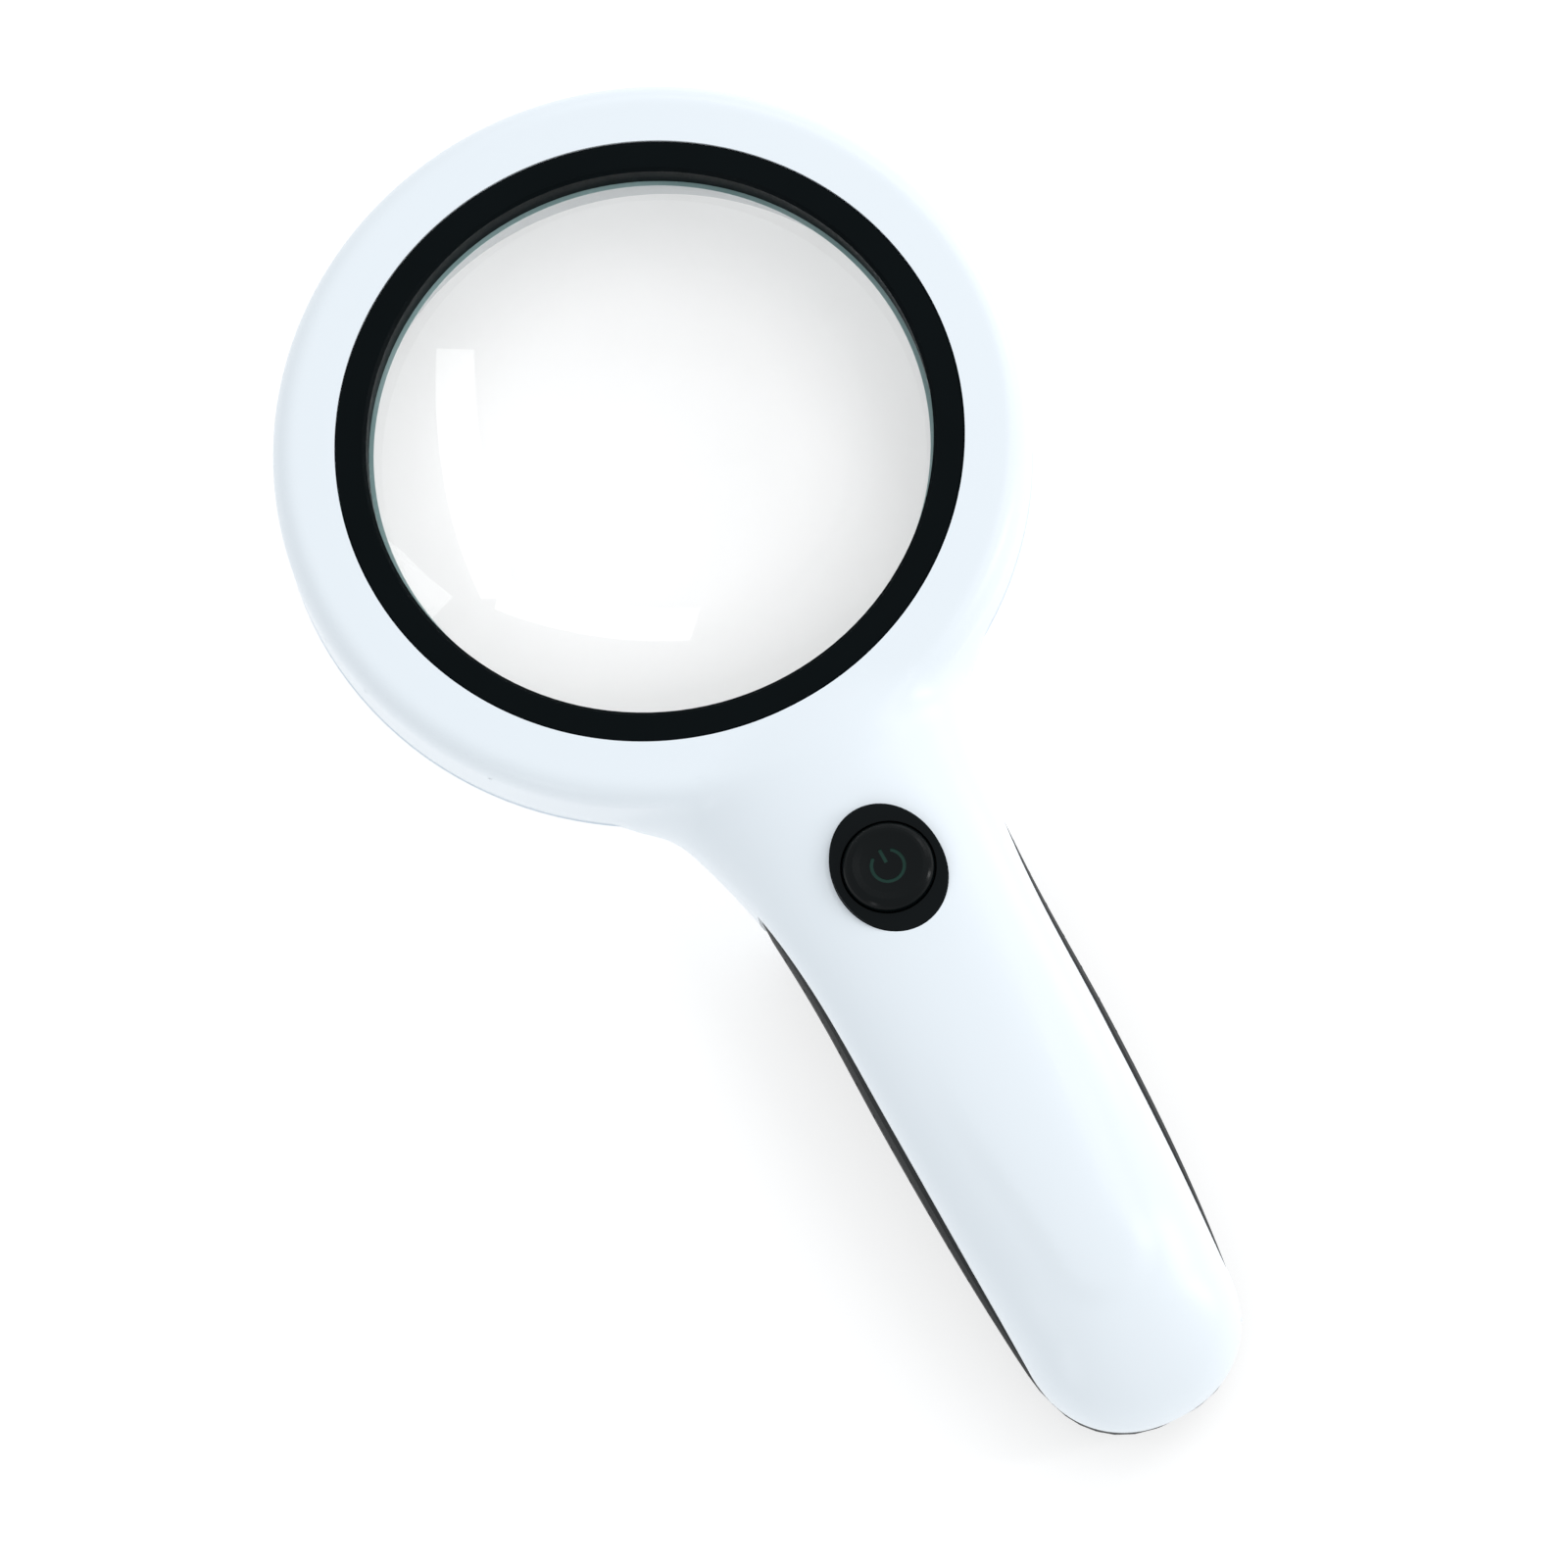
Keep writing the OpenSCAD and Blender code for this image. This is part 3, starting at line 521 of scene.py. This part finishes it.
PLUNGER = surface("plunger", (0.72, 0.72, 0.68), (0.8, 0.8, 0.76), 0.4, 0.08, 2000, 120, 0.2, 1e-5)
RESISTOR = surface("resistor", (0.01, 0.01, 0.01), (0.03, 0.03, 0.03), 0.6, 0.1, 4000, 300, 0.4, 1e-5)
RED = surface("wire_red", (0.45, 0.02, 0.02), (0.55, 0.03, 0.03), 0.4, 0.08, 2000, 150, 0.2, 1e-5)
BLACK = surface("wire_black", (0.01, 0.01, 0.01), (0.02, 0.02, 0.02), 0.4, 0.08, 2000, 150, 0.2, 1e-5)
PALE = surface("wire_white", (0.65, 0.65, 0.65), (0.75, 0.75, 0.75), 0.4, 0.08, 2000, 150, 0.2, 1e-5)
# The rim colour is painted shade: the lens turns grey toward its edge.
LENS = glass("lens_glass", (1.0, 1.0, 1.0), (0.76, 0.765, 0.762), LENS_R * MM)
LAMP = glass("lamp_clear", (0.97, 0.98, 1.0), (0.97, 0.98, 1.0), 1.0, 0.02, 1.5)
# Painted shade: darker, duller discs that stand for the shade in the grip's dimples.
DIMPLE_SHADE = surface("dimple_painted_shade", (0.0005, 0.0008, 0.0008), (0.001, 0.0013, 0.0013),
                 0.8, 0.1, 2600, 90, 0.3, 1e-5, specular=0.02)
MARK = surface("power_mark_green", (0.004, 0.028, 0.02), (0.007, 0.04, 0.03),
               0.4, 0.06, 2600, 300, 0.2, 1e-5, specular=0.2)
GROUND = surface("ground_edge", (0.16, 0.30, 0.30), (0.50, 0.66, 0.66), 0.25, 0.1, 900, 70, 0.4, 2e-5)

DRESS = {
    "front_shell": WHITE, "rear_shell": WHITE, "soft_grip": GRIP, "lens_bezel": BEZEL,
    "magnifying_lens": LENS, "lens_gasket": GASKET, "lamp_cover_ring": COVER, "lamp_board": BOARD,
    "lamps": LAMP, "lamp_resistors": RESISTOR, "switch_surround": SURROUND, "power_button": BUTTON,
    "switch_case": CASE, "switch_plunger": PLUNGER, "switch_spring": STEEL, "switch_board": BOARD,
    "board_screws": STEEL, "housing_screws": STEEL, "battery_tray": TRAY,
    "battery_left": sleeve("sleeve_left", "battery_left", True),
    "battery_right": sleeve("sleeve_right", "battery_right", True),
    "battery_top": sleeve("sleeve_top", "battery_top", False),
    "positive_terminal": NICKEL, "negative_terminal": NICKEL, "front_bridge": NICKEL,
    "rear_bridge": NICKEL, "cell_springs": STEEL, "battery_door": DOOR, "positive_wire": RED,
    "negative_wire": BLACK, "lamp_wire_live": RED, "lamp_wire_return": PALE,
}
for node_name, node_material in DRESS.items():
    data = nodes[node_name].data
    data.materials.clear()
    data.materials.append(node_material)


# ---------------------------------------------------------------- detailed pieces
def seam(p):
    """Height of the parting line: level round the head, then arching along the handle."""
    level_to = 43
    s = -p[:, 1]
    starts, free = (HEAD_R + reach for reach in SEAM_LEAVES)
    on_handle = np.where(s > level_to, smooth_step(starts, free, np.hypot(p[:, 0], p[:, 1])), 0)
    return SEAM_H + (curve(EDGE, s) - SEAM_H) * on_handle


def front_shell():
    """The white upper shell with its edges at the seam, the bezel and the switch."""
    margin, bottom, top = 2, 5, 29.5
    hole_x, hole_y = 7.65, 9.3
    low = (-HEAD_R - margin, -TAIL_S - margin, bottom)
    high = (HEAD_R + margin, HEAD_R + margin, top)
    points, faces = skin_mesh(low, high, SKIN_STEP)
    points, faces = clip(points, faces, lambda p: p[:, 2] - seam(p))
    points, faces = clip(points, faces, lambda p: np.hypot(p[:, 0], p[:, 1]) - (BEZEL_R + 0.1))
    points, faces = clip(
        points, faces, lambda p: (np.hypot(p[:, 0] / hole_x, (p[:, 1] + SWITCH_S) / hole_y) - 1) * hole_x)
    obj = shell_piece("front_shell_skin", points, faces, WHITE, 1.7)
    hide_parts("front_shell")


def neck_fillet():
    """Rounded corner between the head and the handle below the parting line, part of the rear shell."""
    lowest, least_fill = 0.3, 0.05
    points, faces = skin_mesh((-36, -66, 0), (36, -30, 17), SKIN_STEP)
    points, faces = clip(points, faces, lambda p: seam(p) - p[:, 2])
    points, faces = clip(points, faces, lambda p: p[:, 2] - lowest)

    def filled(p):
        x, y, z = p[:, 0], p[:, 1], p[:, 2]
        return np.minimum(head_field(x, y, z), handle_field(x, y, z)) - body_field(p) - least_fill

    points, faces = clip(points, faces, filled)
    obj = shell_piece("neck_fillet", points, faces, WHITE, 0.6)


def lens_bevel():
    """Ground bevel along the edge of the glass, just inside the bezel."""
    inner, outer = LENS_R - 2.3, LENS_R - 1.67
    low = LENS_HIGH[2] - 3.42
    section = [(inner, low), (outer, low - 0.08), (outer, low + 0.05), (inner, low + 0.1)]
    obj = turned("lens_bevel", section, GROUND)


def switch_coil():
    """The return spring of the button, as a copy of the part with a mesh of its own."""
    source = nodes["switch_spring"]
    obj = bpy.data.objects.new("switch_coil", source.data.copy())
    bpy.context.scene.collection.objects.link(obj)
    obj.matrix_world = source.matrix_world
    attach(obj, "body")
    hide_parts("switch_spring")
    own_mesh(obj)


def grip_dimple_shade():
    """Row of dark discs along each flank of the soft grip: painted shade standing for shallow round dimples,
    the discs sitting just over the grip's surface.
    """
    first_s, end_s, pitch = 72, 128, 5.0
    below_seam = 3.2
    outside = 30                                            # clear of the flanks, where the ray starts
    rings = ((0.36, 0.012), (0.30, 0.03), (0.22, 0.012))    # radius and height over the grip
    count = 12
    tree = BVHTree.FromObject(nodes["soft_grip"], bpy.context.evaluated_depsgraph_get())
    points, faces = [], []
    for side in (-1, 1):
        for s in np.arange(first_s, end_s, pitch):
            z = float(curve(EDGE, s)) - below_seam
            start = Vector((side * outside * MM, (AXIS_Y - s) * MM, z * MM))
            hit, normal, _, _ = tree.ray_cast(start, Vector((-side, 0, 0)))
            if hit is None:
                continue
            across = normal.cross(Vector((0, 0, 1))).normalized()
            upward = across.cross(normal)
            first = len(points)
            for radius, lift in rings:
                for k in range(count):
                    a = 2 * math.pi * k / count
                    spoke = (across * math.cos(a) + upward * math.sin(a)) * radius * MM
                    p = hit + spoke + normal * lift * MM
                    points.append((p.x / MM, p.y / MM - AXIS_Y, p.z / MM))
            for k in range(count):
                j = (k + 1) % count
                for ring in (0, count):
                    faces.append([first + ring + k, first + ring + j, first + ring + count + j,
                                  first + ring + count + k])
            faces.append([first + 2 * count + k for k in range(count)])
    obj = new_piece("grip_dimple_shade", points, faces, DIMPLE_SHADE)


def power_mark():
    """Dark green filling of the power sign on the button: a broken ring and a bar in its gap."""
    outer, inner, gap = 2.45, 1.95, 35
    bar_half, bar_from, bar_to = 0.25, 0.5, 2.5
    low, high = BUTTON_TOP - 0.74, BUTTON_TOP - 0.47
    points, faces = [], []
    count = 48
    for i in range(count + 1):
        a = math.radians(90 + gap + (360 - 2 * gap) * i / count)
        for r in (inner, outer):
            for z in (low, high):
                points.append((r * math.cos(a), r * math.sin(a) - SWITCH_S, z))
    for i in range(count):
        k = 4 * i
        faces += [[k, k + 1, k + 5, k + 4], [k + 1, k + 3, k + 7, k + 5], [k + 3, k + 2, k + 6, k + 7],
                  [k + 2, k, k + 4, k + 6]]
    last = 4 * count
    faces += [[0, 2, 3, 1], [last, last + 1, last + 3, last + 2]]
    first = len(points)
    for x in (-bar_half, bar_half):
        for y in (bar_from, bar_to):
            for z in (low, high):
                points.append((x, y - SWITCH_S, z))
    for quad in ((0, 1, 3, 2), (4, 6, 7, 5), (0, 4, 5, 1), (2, 3, 7, 6), (1, 5, 7, 3), (0, 2, 6, 4)):
        faces.append([first + k for k in quad])
    obj = new_piece("power_mark", points, faces, MARK, body="button", smooth=False)
    weld(obj)


front_shell()
neck_fillet()
lens_bevel()
switch_coil()
grip_dimple_shade()
power_mark()


# ---------------------------------------------------------------- camera, floor and light, in metres
VIEW_AZ, VIEW_EL, VIEW_ROLL = -14.9, 72.7, 13.26
SPAN = 211.2 * MM                           # width of the view at the face of the bezel
DISTANCE = 2.0                              # camera to aim point
AIM_RIGHT, AIM_DOWN = 0.01816, 0.04646      # aim point from the middle of the bezel's face
SENSOR = 36
FLOOR_HALF, FLOOR_GLOW = 2.0, 0.64
SKY, SKY_STRENGTH = (0.96, 0.985, 1.0, 1), 0.75

# Lights that aim at the middle of the object: name, place, size, power
STUDIO_LIGHTS = (
    ("key_light", (1.15, 0.35, 0.62), (0.6, 0.5), 2.6),
    ("edge_light", (1.0, -0.5, 0.6), (0.1, 0.6), 2.4),
    ("fill_light", (-0.9, -0.6, 0.6), (0.1, 0.5), 0.6),
)
# Soft panels that the lens reflects: name, corner, end, rise, width, power
PANELS = (
    ("long_panel", (0.926, 0.698, 0.977), (0.64, -0.25, 1.34), (-0.7, -0.15, 0.68), 0.17, 1.7),
    ("short_panel", (0.901, 0.758, 0.957), (0.33, 1.22, 0.91), (-0.65, -0.25, 0.7), 0.2, 1.4),
)


def camera():
    """Long lens from the given azimuth and elevation, turned by the roll about its own axis."""
    az, el, roll = (math.radians(v) for v in (VIEW_AZ, VIEW_EL, VIEW_ROLL))
    back = Vector((math.sin(az) * math.cos(el), -math.cos(az) * math.cos(el), math.sin(el)))
    right0 = (-back).cross(Vector((0, 0, 1))).normalized()
    down0 = -right0.cross(-back).normalized()
    right = right0 * math.cos(roll) + down0 * math.sin(roll)
    down = down0 * math.cos(roll) - right0 * math.sin(roll)
    face = Vector((0, AXIS_Y * MM, HEAD_H * MM))
    aim = face + right * AIM_RIGHT + down * AIM_DOWN
    data = bpy.data.cameras.new("camera")
    data.sensor_width = SENSOR
    data.lens = SENSOR * DISTANCE / SPAN
    data.clip_end = 10
    obj = bpy.data.objects.new("camera", data)
    bpy.context.scene.collection.objects.link(obj)
    basis = Matrix((right, -down, back)).transposed().to_4x4()
    basis.translation = aim + back * DISTANCE
    obj.matrix_world = basis
    bpy.context.scene.camera = obj


def floor():
    """Pale floor with a faint glow of its own, like a lit table."""
    mesh = bpy.data.meshes.new("floor")
    half = FLOOR_HALF
    mesh.from_pydata([(-half, -half, 0), (half, -half, 0), (half, half, 0), (-half, half, 0)], [],
                     [(0, 1, 2, 3)])
    obj = bpy.data.objects.new("floor", mesh)
    bpy.context.scene.collection.objects.link(obj)
    pale = surface("floor_pale", (0.48, 0.48, 0.48), (0.5, 0.5, 0.5), 0.9, 0.02, 300, 5, 0.02, 1e-5,
                   specular=0.1)
    shader = pale.node_tree.nodes["Principled BSDF"]
    shader.inputs["Emission Color"].default_value = (1, 1, 1, 1)
    shader.inputs["Emission Strength"].default_value = FLOOR_GLOW
    mesh.materials.append(pale)


def new_light(name, size, power):
    """A rectangular area light, still at the origin."""
    data = bpy.data.lights.new(name, "AREA")
    data.shape = "RECTANGLE"
    data.size, data.size_y = size
    data.energy = power
    obj = bpy.data.objects.new(name, data)
    bpy.context.scene.collection.objects.link(obj)
    return obj


def panel(name, corner, end, rise, width, power):
    """Soft panel whose lower edge runs from corner to end and which leans over the object by its rise."""
    low, far = Vector(corner), Vector(end)
    along = (far - low).normalized()
    across = (Vector(rise) - along * Vector(rise).dot(along)).normalized()
    centre = (low + far) / 2 + across * width / 2
    obj = new_light(name, ((far - low).length, width), power)
    back = along.cross(across)
    if back.dot(centre) < 0:
        along, back = -along, -back
    basis = Matrix((along, across, back)).transposed().to_4x4()
    basis.translation = centre
    obj.matrix_world = basis


def lights():
    """Even pale surroundings, three soft lights and the two panels."""
    world = bpy.data.worlds.new("studio")
    bpy.context.scene.world = world
    world.use_nodes = True
    background = world.node_tree.nodes["Background"]
    background.inputs[0].default_value = SKY
    background.inputs[1].default_value = SKY_STRENGTH
    for name, place, size, power in STUDIO_LIGHTS:
        obj = new_light(name, size, power)
        obj.location = place
        obj.rotation_euler = (-Vector(place)).to_track_quat("-Z", "Y").to_euler()
    for row in PANELS:
        panel(*row)


camera()
floor()
lights()
bpy.context.scene.view_settings.view_transform = "Standard"
